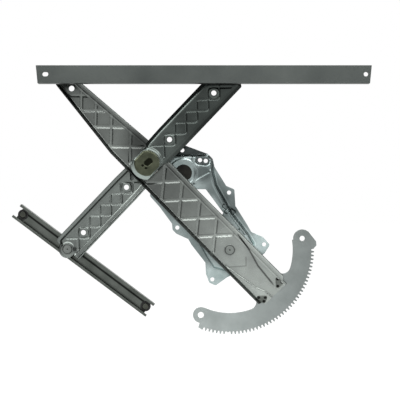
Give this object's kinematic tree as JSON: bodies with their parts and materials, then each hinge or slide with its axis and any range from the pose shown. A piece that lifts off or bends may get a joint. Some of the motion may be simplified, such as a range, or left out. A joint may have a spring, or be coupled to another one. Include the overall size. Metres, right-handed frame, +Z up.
{
  "type": "window regulator",
  "caption": "Vehicle door window regulator with crossed pressed-steel arms, a toothed sector, a sash channel, a mounting plate and a lower guide rail.",
  "frame": {"origin": "centre of the circle of the four door panel bolts, on the plate's mounting face", "axes": "+X along the sash channel to its long free end, +Z up as the part is pictured, +Y out of the mounting face towards the door panel"},
  "size_m": [0.6393, 0.0973, 0.4763],
  "materials": {
    "base_plate": "zinc plated",
    "rivet_steel": "zinc plated",
    "lift_arm": "zinc plated",
    "nylon": "natural nylon",
    "sector": "zinc plated",
    "clinch": "dark punched",
    "cross_upper": "zinc plated",
    "cross_lower": "zinc plated",
    "hub_cap": "yellow zinc plated",
    "hub_rivet": "dark punched",
    "sash": "zinc plated",
    "rail": "zinc plated",
    "bolt": "zinc plated",
    "dark_washer": "dark"
  },
  "bodies": {
    "base": {"base_plate": "base_plate", "pivot_rivet": "rivet_steel", "pivot_spacer": "rivet_steel"},
    "lift": {"lift_arm": "lift_arm", "pivot_liner": "nylon", "hub_bushing": "nylon", "sector_gear": "sector", "sector_rivet_1": "clinch", "sector_rivet_2": "clinch", "left_glide_stud": "rivet_steel"},
    "cross": {"cross_arm_upper": "cross_upper", "cross_arm_lower": "cross_lower", "cross_hub": "rivet_steel", "hub_washer": "rivet_steel", "hub_cap": "hub_cap", "hub_rivet": "hub_rivet", "right_glide_stud": "rivet_steel", "lower_glide_stud": "rivet_steel"},
    "left_shoe": {"left_glide": "nylon"},
    "right_shoe": {"right_glide": "nylon"},
    "rail_shoe": {"rail_glide": "nylon"},
    "sash": {"sash_channel": "sash"},
    "rail": {"lower_rail": "rail", "rail_bolt_1": "bolt", "rail_bolt_2": "bolt", "rail_washer_1": "dark_washer", "rail_washer_2": "dark_washer"}
  },
  "joints": [
    {"name": "lift_pivot", "type": "hinge", "parent": "base", "child": "lift", "pos_m": [0.0157, -0.017, -0.0242], "axis": [0, -1, 0], "range_deg": [0, 218]},
    {"name": "scissor_pivot", "type": "hinge", "parent": "lift", "child": "cross", "pos_m": [-0.1305, -0.017, 0.12932], "axis": [0, 1, 0], "range_deg": [-28, 150]},
    {"name": "sash_swivel", "type": "hinge", "parent": "lift", "child": "left_shoe", "pos_m": [-0.2767, -0.049, 0.28285], "axis": [0, 1, 0], "range_deg": [-14, 75]},
    {"name": "sash_slide", "type": "slide", "parent": "left_shoe", "child": "sash", "axis": [1, 0, 0], "range_m": [-0.09, 0.03]},
    {"name": "right_shoe_swivel", "type": "hinge", "parent": "cross", "child": "right_shoe", "pos_m": [0.0157, -0.049, 0.28285], "axis": [0, 1, 0], "range_deg": [-75, 14]},
    {"name": "rail_swivel", "type": "hinge", "parent": "cross", "child": "rail_shoe", "pos_m": [-0.2767, 0.017, -0.0242], "axis": [0, 1, 0], "continuous": true},
    {"name": "rail_slide", "type": "slide", "parent": "rail_shoe", "child": "rail", "axis": [0.8007, 0, -0.599], "range_m": [-0.15, 0.08]}
  ],
  "couplings": [
    {"joint": "sash_swivel", "follows": "scissor_pivot", "ratio": 0.5},
    {"joint": "right_shoe_swivel", "follows": "scissor_pivot", "ratio": -0.5}
  ]
}
